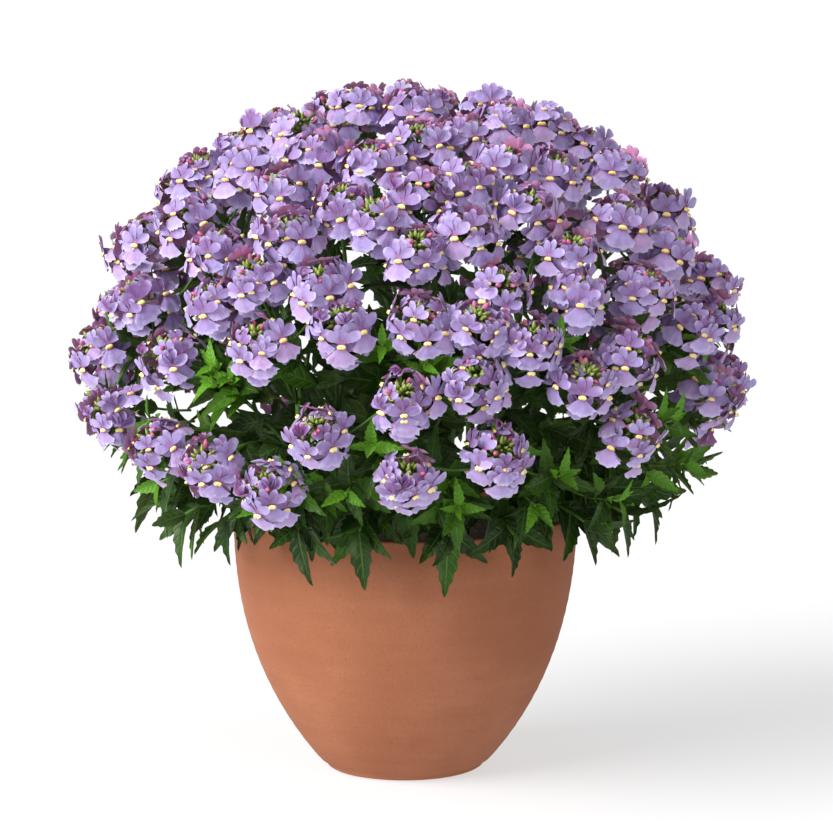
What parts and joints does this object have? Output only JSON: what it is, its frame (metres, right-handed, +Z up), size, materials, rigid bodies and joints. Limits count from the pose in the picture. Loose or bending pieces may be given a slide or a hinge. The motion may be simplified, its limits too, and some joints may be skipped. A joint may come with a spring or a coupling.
{
  "type": "potted nemesia",
  "caption": "Domed flowering bedding plant with toothed leaves and heads of small two-lipped lavender flowers, growing in a round terracotta pot.",
  "frame": {"origin": "middle of the pot's flat base, on the surface it stands on", "axes": "+Z up along the pot's axis, front of the plant towards -Y, +X to the right seen from the front"},
  "size_m": [0.3698, 0.3685, 0.3698],
  "materials": {
    "terracotta": "matt unglazed terracotta with fine speckles",
    "soil": "loose dark potting soil",
    "leaf": "satin green leaf",
    "flower": "soft matt lavender petal with a yellow palate"
  },
  "bodies": {
    "root": {"flower_spray_01": "flower", "flower_spray_02": "flower", "flower_spray_03": "flower", "flower_spray_04": "flower", "flower_spray_05": "flower", "flower_spray_06": "flower", "flower_spray_07": "flower", "flower_spray_08": "flower", "flower_spray_09": "flower", "flower_spray_10": "flower", "flower_spray_11": "flower", "flower_spray_12": "flower", "flower_spray_13": "flower", "flower_spray_14": "flower", "flower_spray_15": "flower", "flower_spray_16": "flower", "flower_spray_17": "flower", "flower_spray_18": "flower", "flower_spray_19": "flower", "flower_spray_20": "flower", "flower_spray_21": "flower", "flower_spray_22": "flower", "flower_spray_23": "flower", "flower_spray_24": "flower", "flower_spray_25": "flower", "flower_spray_26": "flower", "flower_spray_27": "flower", "flower_spray_28": "flower", "flower_spray_29": "flower", "flower_spray_30": "flower", "flower_spray_31": "flower", "flower_spray_32": "flower", "flower_spray_33": "flower", "flower_spray_34": "flower", "flower_spray_35": "flower", "flower_spray_36": "flower", "flower_spray_37": "flower", "flower_spray_38": "flower", "flower_spray_39": "flower", "flower_spray_40": "flower", "flower_spray_41": "flower", "flower_spray_42": "flower", "leafy_stem_01": "leaf", "leafy_stem_02": "leaf", "leafy_stem_03": "leaf", "leafy_stem_04": "leaf", "leafy_stem_05": "leaf", "leafy_stem_06": "leaf", "leafy_stem_07": "leaf", "leafy_stem_08": "leaf", "leafy_stem_09": "leaf", "leafy_stem_10": "leaf", "leafy_stem_11": "leaf", "pot": "terracotta", "soil": "soil"}
  },
  "joints": []
}
